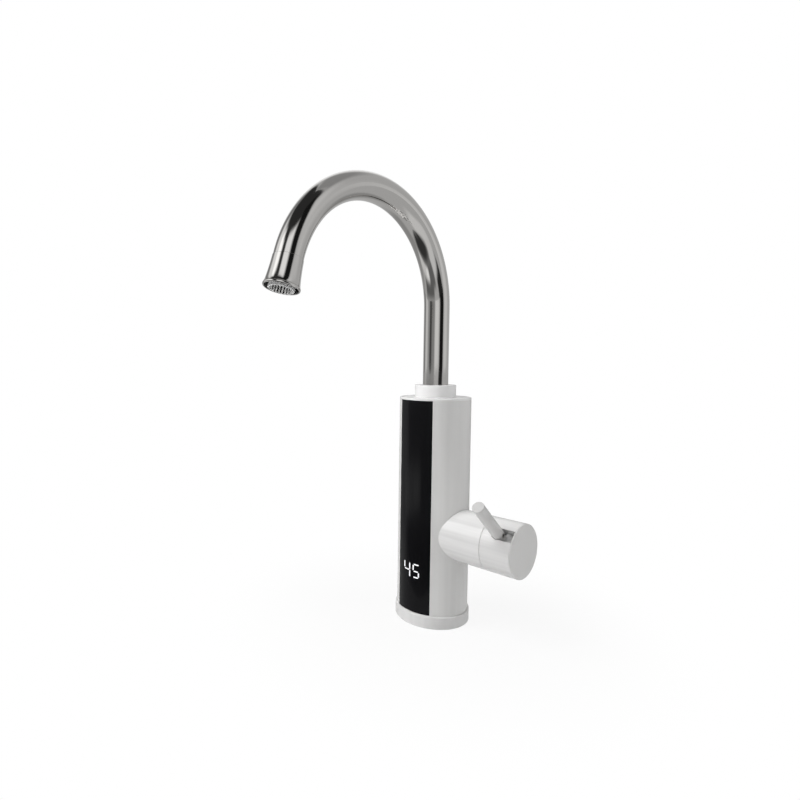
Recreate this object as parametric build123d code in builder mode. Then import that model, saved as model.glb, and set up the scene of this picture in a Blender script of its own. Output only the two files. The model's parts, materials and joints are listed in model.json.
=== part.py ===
from build123d import *
from math import cos, degrees, dist, pi, radians, sin, sqrt, tan
import os

# Kitchen tap that warms its own water, in millimetres.
# The origin is the centre of the base's underside, under the riser.
# +Z is up, -Y is the front where the spout and display face, +X is the side of the valve knob.

# Clearances
seat_gap = 0.1  # around parts that are fixed to each other
running_gap = 0.06  # around a part that turns or slides in a bore
free_gap = 0.35  # between moving parts that must not rub
face_gap = 0.05  # between faces that lie on each other

# Base
base_lip = 1.2  # beyond the body
base_height = 10.0
base_floor = 3.0
base_edge = 0.6
gasket_inset = 1.05
gasket_width = 2.4
gasket_thickness = 1.0
base_screw_radius = 1.4
base_screw_head_radius = 2.8
base_screw_length = 10.0
screw_angles = (30, 150, 270)

# Body
body_radius = 28.15
body_wall = 2.6
boss_radius = 4.3
boss_length = 12.0
boss_bite = 0.25  # into the shell's wall

# Front panel and display
panel_half_angle = 31.8
panel_thickness = 1.4
panel_bottom = 10.3
panel_edge = 0.45
display_width = 22.0
display_height = 18.0
display_middle = 44.0
display_depth = 5.0
display_board_thickness = 1.6
display_board_margin = 2.0

# Top cap and spout collar
cap_thickness = 1.7
cap_edge = 0.4
cap_skirt_depth = 5.0
cap_skirt_wall = 2.0
collar_radius = 16.2
collar_height = 9.8
collar_roof = 2.4
collar_edge = 0.5

# Spout
spout_radius = 10.0
spout_wall = 1.0
spout_riser = 62.0  # from the collar to the bend
spout_bend_radius = 80.8
spout_bend_angle = 163.6
spout_fitting_gap = 0.5
spout_fitting_step = 9.4
spout_ring_wire = 2.4
spout_ring_spacing = 2.0

# Nozzle and aerator
nozzle_length = 20.4
nozzle_top_radius = 10.25
nozzle_waist_radius = 10.9
nozzle_mouth_radius = 12.4
nozzle_lip_height = 1.9
nozzle_lip_wall = 1.3
nozzle_lip_edge = 0.35
nozzle_cone = 7.9
nozzle_bore_radius = 9.0
nozzle_throat_radius = 7.0
nozzle_spigot_length = 4.0
nozzle_spigot_gap = 0.25  # the spigot is straight, and the tube around it curves
nozzle_shoulder = 5.0
aerator_wall = 1.2
aerator_stand_out = 0.9
aerator_rib_count = 24
aerator_rib_depth = 0.9
aerator_rib_width = 0.9
aerator_seal_thickness = 1.2
aerator_screen_thickness = 1.0
screen_hole_radius = 0.5

# Side valve
valve_height = 73.5
valve_radius = 20.45
sleeve_end = 53.8
sleeve_wall = 1.9
knob_seam = 0.25
knob_end = 77.8
knob_wall = 2.4
knob_edge = 0.2
end_disc_thickness = 0.8
end_disc_edge = 0.3
end_disc_spigot = 2.0
end_disc_spigot_wall = 2.6
lever_angle = 47.5  # of the lever's slot, from straight up towards the front
knob_slot_width = 9.4

# Lever
lever_radius = 4.4
lever_reach = 50.0  # from the pivot pin to the tip
lever_tip_edge = 0.5
lever_lean = 1.2  # degrees back towards the body while the tap is shut
lever_travel = 20.0  # degrees
lever_pin_place = 65.6  # along the valve axis
lever_pin_rise = 5.0  # above the valve axis
lever_pin_radius = 1.5
lever_pin_length = 17.0
lever_hub_radius = 4.6
lever_hub_width = 8.7
lever_stud_radius = 2.4
lever_stud_length = 18.0
finger_radius = 1.2
finger_ball_radius = 2.2
finger_back = 8.0  # from the pin to the finger's ball, along the valve axis
finger_drop = 6.7
lever_screw_radius = 1.7
lever_screw_rise = 14.0  # from the pivot pin
lever_screw_inset = 0.3
lever_screw_socket = 0.9

# Valve block and cartridge
block_radius = 16.0
block_front = 46.0
block_boss_radius = 8.0
block_foot = 6.0
block_head = 1.5
cartridge_radius = 12.5
cartridge_start = 20.2
cartridge_base = 3.0
cartridge_wall = 1.9
seal_wire = 1.2
nut_thickness = 3.0
nut_wall = 1.7
nut_skirt = 8.0
spindle_neck_radius = 8.8
spindle_neck_length = 10.3
ceramic_thickness = 4.0
moving_ceramic_thickness = 3.5
moving_ceramic_radius = 8.4
slide_plate_thickness = 3.0
slide_bar_width = 6.0
slide_bar_height = 7.6
port_radius = 2.5
inlet_port_drop = 6.0
hot_port_rise = 5.0
cold_port_place = 6.0

# Inlet
inlet_bore_radius = 9.315  # root of a half inch pipe thread
inlet_bore_length = 12.5
inlet_barrel_radius = 11.6
inlet_flange_clear = 1.45  # to the gland
inlet_flange_thickness = 4.0
inlet_height = 25.0
inlet_washer_thickness = 2.0
inlet_screen_thickness = 1.2
pipe_radius = 6.0
pipe_wall = 1.4
pipe_socket_depth = 6.0

# Cable gland
gland_bore_radius = 3.6
gland_neck_radius = 4.5
gland_flange_radius = 5.3
gland_clear = 0.3  # to the shell's wall
gland_flange_thickness = 1.1
gland_rise = 0.2  # of its lower flange, above the base's underside

# Flow switch
switch_place = (-8.0, -5.0)
switch_radius = 8.5
switch_height = 18.0
switch_floor = 2.5
switch_cap_thickness = 2.5
switch_spigot = 3.0
piston_radius = 5.0
piston_height = 5.0
piston_port_radius = 1.6
spring_wire = 0.6
spring_radius = 3.4
spring_turns = 5
wound_stretch = 5  # wires along a wound tube, within which its gap to itself isn't measured
reed_radius = 1.3
reed_length = 12.0
feed_radius = 3.0
feed_wall = 0.8
feed_length = 8.7

# Heater
chamber_wall = 1.0
chamber_height = 40.0
chamber_clear = 0.45  # to the bypass pipe
chamber_top_drop = 20.0  # below the body's top
chamber_cap_thickness = 4.0
chamber_cap_lip = 0.9
chamber_port_radius = 3.0
coil_radius = 9.5
coil_wire = 4.4
coil_pitch = 6.0
coil_turns = 4
coil_bend = 6.0
coil_return = 4.5
coil_tail = 3.0
cutout_radius = 7.0
cutout_depth = 5.0
probe_radius = 2.0
probe_depth = 18.0

# Outlet block
outlet_socket_radius = 12.6
outlet_neck_wall = 2.0
outlet_foot = 5.0
outlet_floor = 3.0
outlet_port_radius = 4.8
bypass_side = 4.0
bypass_radius = 3.0
bypass_wall = 0.8
bypass_boss_radius = 4.6
bypass_boss_height = 6.0
bypass_web = 8.0

# Electronics
board_inset = 5.55  # from the shell's wall to the board's face
board_thickness = 1.6
board_width = 22.0
board_rise = 0.95  # above the screw bosses
board_height = 96.0
board_post_radius = 2.6
board_post_inset = 8.0
board_screw_radius = 1.1
board_screw_head_radius = 2.0
board_screw_head = 1.2
board_screw_length = 4.0
relay_size = (16.0, 15.0, 4.6)  # across, up, and out from the board
relay_rise = 20.0  # above the board's lower end
capacitor_radius = 3.2
capacitor_length = 6.0
capacitor_side = 7.0
capacitor_drop = 13.0  # below the board's upper end
triac_clear = 2.8  # from the board
triac_thickness = 4.2
triac_width = 8.6
triac_height = 15.0
triac_place = 8.2
terminal_width = 18.0
terminal_depth = 7.0
terminal_height = 11.0
terminal_hole_depth = 2.8
terminal_post_radius = 1.6
terminal_post_height = 6.0
lead_radius = 1.1
lead_rise = 14.0  # straight up into the element's ends
lead_slope = 7.0  # of the run across the body
lead_clear = 0.5  # between the right lead and the bypass boss
lead_jog_rise = 10.0  # above the terminal block
lead_jog_drop = 5.5  # below the valve block
lead_share = 0.45  # of a run that an arc takes
thin_lead_radius = 0.8
display_lead_side = 7.0
display_lead_side_at_board = 9.5
display_lead_rise = 2.0
display_lead_straight = 5.5

# Places worked out from the sizes above
body_inner = body_radius - body_wall
base_radius = body_radius + base_lip
gasket_outer_radius = base_radius - gasket_inset
gasket_inner_radius = gasket_outer_radius - gasket_width
shell_start = base_floor + face_gap
block_top = valve_height + block_radius + block_head
switch_start = block_top + face_gap
cap_start = switch_start + switch_height + face_gap
feed_start = cap_start + switch_cap_thickness
chamber_start = feed_start + feed_length
chamber_top = chamber_start + chamber_height
body_top = chamber_top + chamber_top_drop
bypass_distance = body_inner - bypass_boss_radius - seat_gap
bypass_place = (bypass_side, sqrt(bypass_distance ** 2 - bypass_side ** 2))
chamber_radius = bypass_distance - bypass_radius - chamber_cap_lip - chamber_clear
cap_top = body_top + cap_thickness
collar_top = cap_top + collar_height
panel_inner = body_radius - panel_thickness
sleeve_inner = valve_radius - sleeve_wall
valve_hole = sleeve_inner - seat_gap
knob_start = sleeve_end + knob_seam
knob_inner = valve_radius - knob_wall
end_disc_start = knob_end - end_disc_thickness
board_face = board_inset - body_inner
board_back = board_face - board_thickness
board_bottom = shell_start + boss_length + board_rise
board_top = board_bottom + board_height
block_back = -board_face - triac_thickness - triac_clear
gland_distance = body_inner - gland_flange_radius - gland_clear
gland_spot = (0, gland_distance)
inlet_flange_radius = gland_distance - gland_flange_radius - inlet_flange_clear
screw_circle = body_inner + boss_bite - boss_radius
screw_spots = [(screw_circle * cos(radians(a)), screw_circle * sin(radians(a))) for a in screw_angles]
spout_bend_height = collar_top + spout_riser
tangent = Vector(0, cos(radians(lever_angle)), sin(radians(lever_angle)))
radial = Vector(0, -sin(radians(lever_angle)), cos(radians(lever_angle)))
along = Vector(1, 0, 0)
up = Vector(0, 0, 1)


def level(height):
    return Plane.XY.offset(height)


def across(x):  # local x is +Y and local y is +Z
    return Plane(origin=(x, 0, valve_height), x_dir=(0, 1, 0), z_dir=(1, 0, 0))


def across_knob(x):  # local x runs along the pivot pin and local y up the lever's slot
    return Plane(origin=(x, 0, valve_height), x_dir=tangent, z_dir=along)


def facing_back(place, height):  # a plane across Y that extrudes towards the back
    return Plane(origin=(0, place, height), x_dir=(-1, 0, 0), z_dir=(0, 1, 0))


def outward(x, y, z):  # a plane whose normal is +X, as the control board's face
    return Plane(origin=(x, y, z), x_dir=(0, 1, 0), z_dir=along)


def disc(plane, radius, hole=0.0, places=((0, 0),)):
    with BuildSketch(plane, mode=Mode.PRIVATE) as made:
        with Locations(*places):
            Circle(radius)
        if hole > 0:
            with Locations(*places):
                Circle(hole, mode=Mode.SUBTRACT)
    return made.sketch


def block(plane, width, height, place=(0, 0)):
    with BuildSketch(plane, mode=Mode.PRIVATE) as made:
        with Locations(place):
            Rectangle(width, height)
    return made.sketch


def front_sector(plane, inner, outer, half_angle):
    reach = outer * 2
    side = radians(half_angle)
    with BuildSketch(plane, mode=Mode.PRIVATE) as made:
        Circle(outer)
        Circle(inner, mode=Mode.SUBTRACT)
        with BuildLine():
            Polyline((0, 0), (-reach * sin(side), -reach * cos(side)),
                     (reach * sin(side), -reach * cos(side)), close=True)
        make_face(mode=Mode.INTERSECT)
    return made.sketch


def cut(sketch, depth):
    extrude(sketch, amount=depth, mode=Mode.SUBTRACT)


def biarc(start, start_way, end, end_way):  # two arcs that leave and arrive along the given ways
    chord = end - start
    turn = 1 - start_way.dot(end_way)
    lean = chord.dot(start_way + end_way)
    reach = (sqrt(lean * lean + 2 * turn * chord.dot(chord)) - lean) / (2 * turn)
    first = start + start_way * reach
    last = end - end_way * reach
    middle = (first + last) * 0.5
    TangentArc(start, middle, tangent=start_way)
    TangentArc(middle, end, tangent=(last - first).normalized())


def helix_point(centre, radius, pitch, turn):
    angle = 2 * pi * turn
    return centre + Vector(radius * cos(angle), radius * sin(angle), pitch * turn)


def helix_way(radius, pitch, turn):
    angle = 2 * pi * turn
    return Vector(-sin(angle), cos(angle), pitch / (2 * pi * radius)).normalized()


def helix(centre, radius, pitch, turns):  # a biarc for each quarter turn
    for step in range(4 * turns):
        before = step / 4
        after = (step + 1) / 4
        biarc(helix_point(centre, radius, pitch, before), helix_way(radius, pitch, before),
              helix_point(centre, radius, pitch, after), helix_way(radius, pitch, after))


def least_gap(route, wire):  # of a wound tube to itself, measured on points that lie well apart along it
    count = 2 * round(route.length / wire)
    places = [tuple(route @ (step / count)) for step in range(count + 1)]
    apart = round(2 * wound_stretch)
    return min(dist(near, far) for step, near in enumerate(places) for far in places[step + apart:]) - wire


def lead_radii(points):  # each arc is as large as its two runs allow
    places = [Vector(*point) for point in points]
    radii = []
    for before, corner, after in zip(places, places[1:], places[2:]):
        half_turn = radians((corner - before).get_angle(after - corner)) / 2
        radii.append(lead_share * min((corner - before).length, (after - corner).length) / tan(half_turn))
    print("lead radii", [round(radius, 1) for radius in radii])
    return radii


def lead(points, radius):  # one insulated wire: straight runs joined by tangent arcs
    with BuildPart() as made:
        with BuildLine() as route:
            FilletPolyline(*points, radius=lead_radii(points))
        with BuildSketch(Plane(origin=route.wire() @ 0, z_dir=route.wire() % 0)):
            Circle(radius)
        sweep()
    return made.part


def save(piece, name):
    piece.part.label = name
    export_step(piece.part, f"parts/{name}.step")


os.makedirs("parts", exist_ok=True)

# Base ring: a shallow cup that the body shell stands in
inlet_hole = inlet_barrel_radius + seat_gap
post_x = terminal_width / 2 - terminal_post_radius
post_y = gland_distance - terminal_depth / 2 + terminal_post_radius
with BuildPart() as base_ring:
    extrude(disc(level(0), base_radius), amount=base_height)
    chamfer(base_ring.edges().filter_by(GeomType.CIRCLE), length=base_edge)
    cut(disc(level(base_floor), body_radius + seat_gap), base_height)
    groove = disc(level(0), gasket_outer_radius + seat_gap, gasket_inner_radius - seat_gap)
    cut(groove, gasket_thickness + face_gap)
    posts = disc(level(base_floor), terminal_post_radius, 0, ((-post_x, post_y), (post_x, post_y)))
    extrude(posts, amount=terminal_post_height)
    cut(disc(level(0), inlet_hole), base_floor)
    gland_hole = disc(level(0), gland_neck_radius + seat_gap, 0, (gland_spot,))
    cut(gland_hole, base_floor)
    gland_recess = disc(level(0), gland_flange_radius + seat_gap, 0, (gland_spot,))
    cut(gland_recess, gland_rise + gland_flange_thickness + face_gap)
    screw_holes = disc(level(0), base_screw_radius + seat_gap, 0, screw_spots)
    cut(screw_holes, base_floor)
    head_holes = disc(level(0), base_screw_head_radius + seat_gap, 0, screw_spots)
    cut(head_holes, base_floor / 2)
save(base_ring, "base_ring")

# Soft ring under the base
with BuildPart() as base_gasket:
    extrude(disc(level(0), gasket_outer_radius, gasket_inner_radius), amount=gasket_thickness)
save(base_gasket, "base_gasket")

# Cross-head screws that hold the base to the shell
head_start = base_floor / 2 - face_gap
head_height = base_floor / 2 - 4 * face_gap
with BuildPart() as base_screws:
    extrude(disc(level(head_start), base_screw_head_radius, 0, screw_spots), amount=-head_height)
    extrude(disc(level(head_start), base_screw_radius, 0, screw_spots), amount=base_screw_length)
    with BuildSketch(level(head_start - head_height)):
        with Locations(*screw_spots):
            Rectangle(base_screw_head_radius * 1.2, base_screw_radius / 2)
            Rectangle(base_screw_radius / 2, base_screw_head_radius * 1.2)
    extrude(amount=head_height / 2, mode=Mode.SUBTRACT)
save(base_screws, "base_screws")

# Grommet for the cable, in the base behind the inlet
with BuildPart() as cable_gland:
    gland_ends = (gland_rise, shell_start)
    for start in gland_ends:
        flange = disc(level(start), gland_flange_radius, gland_bore_radius, (gland_spot,))
        extrude(flange, amount=gland_flange_thickness)
    neck = disc(level(gland_rise), gland_neck_radius, gland_bore_radius, (gland_spot,))
    extrude(neck, amount=shell_start - gland_rise)
save(cable_gland, "cable_gland")

# Body shell: a tube with a step in its front for the panel and a hole in its side for the valve
board_post_heights = (board_bottom + board_post_inset, board_top - board_post_inset)
panel_side = (body_radius * sin(radians(panel_half_angle)), -body_radius * cos(radians(panel_half_angle)))
with BuildPart() as body_shell:
    extrude(disc(level(shell_start), body_radius), amount=body_top - shell_start)
    cut(disc(level(shell_start), body_inner), body_top)
    bosses = disc(level(shell_start), boss_radius, 0, screw_spots)
    extrude(bosses, amount=boss_length)
    cut(disc(level(0), base_radius * 2, body_radius), body_top)
    pilots = disc(level(shell_start), base_screw_radius + running_gap, 0, screw_spots)
    cut(pilots, base_screw_length + face_gap - base_floor / 2)
    for height in board_post_heights:
        post_plane = Plane(origin=(board_back - face_gap, 0, height), x_dir=(0, 1, 0), z_dir=(-1, 0, 0))
        post_length = body_inner + body_wall / 2 + board_back
        extrude(disc(post_plane, board_post_radius), amount=post_length)
        cut(disc(post_plane, board_screw_radius + running_gap), board_screw_length)
    step = front_sector(level(panel_bottom), panel_inner - seat_gap, base_radius * 2, panel_half_angle)
    cut(step, body_top)
    with BuildSketch(level(panel_bottom)):
        for side in (-1, 1):
            with Locations((side * panel_side[0], panel_side[1])):
                Rectangle(panel_edge, panel_edge, rotation=side * panel_half_angle + 45)
    extrude(amount=body_top, mode=Mode.SUBTRACT)
    window_plane = facing_back(-base_radius, display_middle)
    window = block(window_plane, display_width + 2 * free_gap, display_height + 2 * free_gap)
    cut(window, body_wall * 3)
    cut(disc(across(0), valve_hole), base_radius)
save(body_shell, "body_shell")

# Front panel: a dark curved lens let into the shell
lens_half_angle = panel_half_angle - degrees(seat_gap / body_radius)
with BuildPart() as display_panel:
    lens = front_sector(level(panel_bottom + seat_gap), panel_inner, body_radius, lens_half_angle)
    extrude(lens, amount=body_top - face_gap - panel_bottom - seat_gap)
save(display_panel, "display_panel")

# Display module behind the lens
module_front = panel_inner - free_gap
module_back = module_front - display_depth
with BuildPart() as display_module:
    outline = block(level(display_middle - display_height / 2), display_width, display_depth,
                    (0, -module_back - display_depth / 2))
    extrude(outline, amount=display_height)
    cut(disc(level(0), base_radius * 2, module_front), body_top)
save(display_module, "display_module")

# Board that carries the display module
display_board_back = module_back - face_gap - display_board_thickness
display_board_half = sqrt(body_inner ** 2 - (module_back - face_gap) ** 2) - seat_gap
with BuildPart() as display_board:
    sheet = block(facing_back(-module_back + face_gap, 0), 2 * display_board_half,
                  display_height + 2 * display_board_margin, (0, display_middle))
    extrude(sheet, amount=display_board_thickness)
save(display_board, "display_board")

# Top cap with a skirt inside the shell
outlet_neck_radius = outlet_socket_radius + outlet_neck_wall
skirt_radius = body_inner - seat_gap
with BuildPart() as top_cap:
    extrude(disc(level(body_top), body_radius), amount=cap_thickness)
    fillet(top_cap.edges().filter_by(GeomType.CIRCLE).sort_by(Axis.Z)[-1], radius=cap_edge)
    skirt = disc(level(body_top - cap_skirt_depth), skirt_radius, skirt_radius - cap_skirt_wall)
    extrude(skirt, amount=cap_skirt_depth)
    hole = disc(level(body_top - cap_skirt_depth), outlet_neck_radius + seat_gap)
    cut(hole, cap_skirt_depth + cap_thickness)
save(top_cap, "top_cap")

# Collar around the foot of the spout
collar_start = cap_top + face_gap
neck_top = collar_top - collar_roof - face_gap
with BuildPart() as spout_collar:
    extrude(disc(level(collar_start), collar_radius), amount=collar_top - collar_start)
    fillet(spout_collar.edges().filter_by(GeomType.CIRCLE).sort_by(Axis.Z)[-1], radius=collar_edge)
    thread = disc(level(collar_start), outlet_neck_radius + seat_gap)
    cut(thread, collar_top - collar_roof - collar_start)
    cut(disc(level(collar_start), spout_radius + free_gap), collar_height)
save(spout_collar, "spout_collar")

# Outlet block: takes warm water from the heater and cold from the bypass, and holds the spout's foot
outlet_start = chamber_top + face_gap
outlet_port_height = outlet_start + outlet_foot / 2
socket_floor = outlet_start + outlet_foot + outlet_floor
with BuildPart() as outlet_block:
    extrude(disc(level(outlet_start), body_inner - seat_gap), amount=outlet_foot)
    extrude(disc(level(outlet_start), outlet_neck_radius), amount=neck_top - outlet_start)
    cut(disc(level(socket_floor), outlet_socket_radius), collar_height + body_top)
    cut(disc(level(outlet_start), outlet_port_radius), socket_floor)
    bypass_socket = disc(level(outlet_start), bypass_radius + seat_gap, 0, (bypass_place,))
    cut(bypass_socket, outlet_foot / 2)
    port_plane = facing_back(0, outlet_port_height)
    cross_port = disc(port_plane, bypass_radius - bypass_wall, 0, ((-bypass_place[0], 0),))
    cut(cross_port, bypass_place[1])
    probe_hole = disc(facing_back(-base_radius, outlet_port_height), probe_radius + seat_gap)
    cut(probe_hole, base_radius)
save(outlet_block, "outlet_block")

# Probe that reads the water's temperature
with BuildPart() as temperature_probe:
    probe_start = -body_inner + free_gap
    extrude(disc(facing_back(probe_start, outlet_port_height), probe_radius), amount=probe_depth)
    probe_end = temperature_probe.edges().filter_by(GeomType.CIRCLE).sort_by(Axis.Y)[-1]
    fillet(probe_end, radius=probe_radius * 0.8)
save(temperature_probe, "temperature_probe")

# Spout: a round tube up, over and down
bend_centre = Vector(0, -spout_bend_radius, spout_bend_height)
bend = radians(spout_bend_angle)
nozzle_start = Vector(0, -spout_bend_radius + spout_bend_radius * cos(bend),
                      spout_bend_height + spout_bend_radius * sin(bend))
nozzle_way = Vector(0, -sin(bend), cos(bend))
fitting_start = socket_floor + spout_fitting_gap
tube_start = fitting_start + spout_fitting_step
with BuildPart() as spout_tube:
    with BuildLine():
        riser = Line((0, 0, tube_start), (0, 0, spout_bend_height))
        ThreePointArc(riser @ 1, bend_centre + Vector(0, cos(bend / 2), sin(bend / 2)) * spout_bend_radius,
                      nozzle_start)
    with BuildSketch(level(tube_start)):
        Circle(spout_radius)
        Circle(spout_radius - spout_wall, mode=Mode.SUBTRACT)
    sweep()
save(spout_tube, "spout_tube")

# Foot of the spout: it turns in the outlet block and is kept in by the collar's roof
foot_radius = outlet_socket_radius - running_gap * 1.5
foot_top = neck_top - free_gap
ring_groove_width = spout_ring_wire + 2 * seat_gap
ring_groove_radius = outlet_socket_radius - running_gap - spout_ring_wire - seat_gap
ring_starts = (fitting_start + spout_ring_spacing / 2,
               fitting_start + spout_ring_spacing * 1.5 + ring_groove_width)
with BuildPart() as spout_fitting:
    extrude(disc(level(fitting_start), foot_radius), amount=foot_top - fitting_start)
    cut(disc(level(tube_start), spout_radius + seat_gap), collar_top)
    bore = disc(level(fitting_start), spout_radius - spout_wall - seat_gap)
    cut(bore, spout_fitting_step)
    for ring_start in ring_starts:
        groove = disc(level(ring_start), base_radius, ring_groove_radius)
        cut(groove, ring_groove_width)
save(spout_fitting, "spout_fitting")

# Sealing rings on the spout's foot
ring_middle = ring_groove_radius + seat_gap + spout_ring_wire / 2
with BuildPart() as spout_rings:
    for ring_start in ring_starts:
        with Locations((0, 0, ring_start + ring_groove_width / 2)):
            Torus(ring_middle, spout_ring_wire / 2)
save(spout_rings, "spout_rings")


def nozzle_level(distance):  # a plane across the nozzle, at a distance from its top
    return Plane(origin=nozzle_start + nozzle_way * distance, x_dir=along, z_dir=nozzle_way)


nozzle_profile = Plane(origin=nozzle_start, x_dir=along, z_dir=along.cross(nozzle_way))
nozzle_axis = Axis(origin=nozzle_start, direction=nozzle_way)

# Nozzle: a bell that flares to a polished lip
bell_end = nozzle_length - nozzle_lip_height
mouth_inner = nozzle_mouth_radius - nozzle_lip_wall
spigot_radius = spout_radius - spout_wall - nozzle_spigot_gap
with BuildPart() as nozzle:
    with BuildSketch(nozzle_profile):
        with BuildLine():
            ThreePointArc((nozzle_top_radius, face_gap), (nozzle_waist_radius, bell_end / 2),
                          (nozzle_mouth_radius - nozzle_lip_edge, bell_end))
            Polyline((nozzle_mouth_radius - nozzle_lip_edge, bell_end), (nozzle_mouth_radius, bell_end),
                     (nozzle_mouth_radius, nozzle_length), (mouth_inner, nozzle_length),
                     (nozzle_bore_radius, nozzle_length - nozzle_cone), (nozzle_bore_radius, nozzle_shoulder),
                     (nozzle_throat_radius, nozzle_shoulder), (nozzle_throat_radius, -nozzle_spigot_length),
                     (spigot_radius, -nozzle_spigot_length), (spigot_radius, face_gap),
                     (nozzle_top_radius, face_gap))
        make_face()
    revolve(axis=nozzle_axis)
    rims = nozzle.edges().filter_by(GeomType.CIRCLE)
    rims = rims.filter_by(lambda rim: rim.radius > nozzle_mouth_radius - face_gap)
    fillet(rims, radius=nozzle_lip_edge / 2)
save(nozzle, "nozzle")

# Washer and strainer above the aerator insert
seal_start = nozzle_shoulder + face_gap
screen_start = seal_start + aerator_seal_thickness + face_gap
insert_start = screen_start + aerator_screen_thickness + face_gap
insert_radius = nozzle_bore_radius - seat_gap
with BuildPart() as aerator_seal:
    washer = disc(nozzle_level(seal_start), insert_radius, nozzle_throat_radius)
    extrude(washer, amount=aerator_seal_thickness)
save(aerator_seal, "aerator_seal")
with BuildPart() as aerator_screen:
    extrude(disc(nozzle_level(screen_start), insert_radius), amount=aerator_screen_thickness)
    with BuildSketch(nozzle_level(screen_start)):
        Circle(screen_hole_radius)
        for hole_circle, hole_count in ((2.2, 6), (4.4, 12), (6.4, 18)):
            with PolarLocations(hole_circle, hole_count):
                Circle(screen_hole_radius)
    extrude(amount=aerator_screen_thickness, mode=Mode.SUBTRACT)
save(aerator_screen, "aerator_screen")

# Aerator insert: a ring with straight ribs inside, that stands a little out of the mouth
insert_inner = insert_radius - aerator_wall
insert_length = nozzle_length + aerator_stand_out - insert_start
with BuildPart() as aerator_insert:
    extrude(disc(nozzle_level(insert_start), insert_radius, insert_inner), amount=insert_length)
    with BuildSketch(nozzle_level(insert_start)):
        with PolarLocations(insert_inner - aerator_rib_depth / 2 + seat_gap, aerator_rib_count):
            Rectangle(aerator_rib_depth + 2 * seat_gap, aerator_rib_width)
    extrude(amount=insert_length)
save(aerator_insert, "aerator_insert")

# Valve sleeve: a short branch whose end is cut to sit on the round of the body
with BuildPart() as valve_sleeve:
    extrude(disc(across(0), valve_radius), amount=sleeve_end)
    chamfer(valve_sleeve.edges().filter_by(GeomType.CIRCLE).sort_by(Axis.X)[-1], length=knob_edge)
    cut(disc(across(0), sleeve_inner), sleeve_end)
    cut(disc(level(0), body_radius + face_gap), body_top)
save(valve_sleeve, "valve_sleeve")

# Valve block: feeds the cartridge from below, and sends warm water up and cold to the bypass
block_bottom = valve_height - block_radius - block_foot
bypass_start = valve_height + port_radius + seat_gap
with BuildPart() as valve_block:
    extrude(disc(across(-block_back), block_radius), amount=block_back + block_front)
    extrude(disc(level(block_bottom), block_boss_radius), amount=block_foot + block_radius)
    switch_boss = disc(level(valve_height + hot_port_rise), block_boss_radius, 0, (switch_place,))
    extrude(switch_boss, amount=block_top - valve_height - hot_port_rise)
    bypass_boss = disc(level(valve_height - bypass_boss_height), bypass_boss_radius, 0, (bypass_place,))
    extrude(bypass_boss, amount=2 * bypass_boss_height)
    web = block(level(valve_height - bypass_web / 2), bypass_web, bypass_place[1],
                (bypass_place[0], bypass_place[1] / 2))
    extrude(web, amount=bypass_web)
    socket = disc(across(cartridge_start - face_gap), cartridge_radius + seat_gap)
    cut(socket, block_front)
    cut(disc(level(block_bottom), pipe_radius + seat_gap), pipe_socket_depth)
    riser_bore = disc(level(block_bottom), pipe_radius - pipe_wall)
    cut(riser_bore, valve_height - inlet_port_drop - block_bottom)
    inlet_port = disc(across(0), port_radius, 0, ((0, -inlet_port_drop),))
    cut(inlet_port, cartridge_start)
    hot_port = disc(across(switch_place[0]), port_radius, 0, ((switch_place[1], hot_port_rise),))
    cut(hot_port, cartridge_start - switch_place[0])
    hot_riser = disc(level(valve_height + hot_port_rise), port_radius, 0, (switch_place,))
    cut(hot_riser, block_radius * 2)
    cold_port = disc(across(bypass_place[0]), port_radius, 0, ((cold_port_place, 0),))
    cut(cold_port, cartridge_start - bypass_place[0])
    cold_cross = disc(facing_back(cold_port_place, valve_height), port_radius, 0, ((-bypass_place[0], 0),))
    cut(cold_cross, bypass_place[1] - cold_port_place)
    cold_riser = disc(level(valve_height), bypass_radius - bypass_wall, 0, (bypass_place,))
    cut(cold_riser, bypass_boss_height)
    pipe_seat = disc(level(bypass_start), bypass_radius + seat_gap, 0, (bypass_place,))
    cut(pipe_seat, bypass_boss_height)
save(valve_block, "valve_block")

# Bypass pipe: cold water straight to the outlet block
with BuildPart() as bypass_pipe:
    pipe = disc(level(bypass_start + face_gap), bypass_radius, bypass_radius - bypass_wall, (bypass_place,))
    extrude(pipe, amount=outlet_start + outlet_foot / 2 - face_gap - bypass_start - face_gap)
save(bypass_pipe, "bypass_pipe")

# Cartridge: a cup with three ports in its floor
ports = ((0, -inlet_port_drop), (switch_place[1], hot_port_rise), (cold_port_place, 0))
cup_floor = cartridge_start + cartridge_base
cup_radius = cartridge_radius - cartridge_wall
cup_end = block_front - 4 * face_gap
with BuildPart() as cartridge_body:
    extrude(disc(across(cartridge_start), cartridge_radius), amount=cup_end - cartridge_start)
    cut(disc(across(cup_floor), cup_radius), cup_end)
    cut(disc(across(cartridge_start), port_radius, 0, ports), cartridge_base)
    grooves = disc(across(cartridge_start), port_radius + seal_wire + seat_gap, port_radius, ports)
    cut(grooves, seal_wire)
save(cartridge_body, "cartridge_body")

# Sealing rings around the cartridge's ports
with BuildPart() as cartridge_seals:
    with BuildSketch(across(cartridge_start)):
        with Locations(*ports):
            Circle(port_radius + seal_wire)
            Circle(port_radius + seat_gap, mode=Mode.SUBTRACT)
    extrude(amount=seal_wire - face_gap)
save(cartridge_seals, "cartridge_seals")

# Fixed ceramic disc, with the same three ports
fixed_start = cup_floor + face_gap
fixed_radius = cup_radius - seat_gap
with BuildPart() as fixed_ceramic_disc:
    extrude(disc(across(fixed_start), fixed_radius), amount=ceramic_thickness)
    cut(disc(across(fixed_start), port_radius, 0, ports), ceramic_thickness)
save(fixed_ceramic_disc, "fixed_ceramic_disc")

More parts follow.
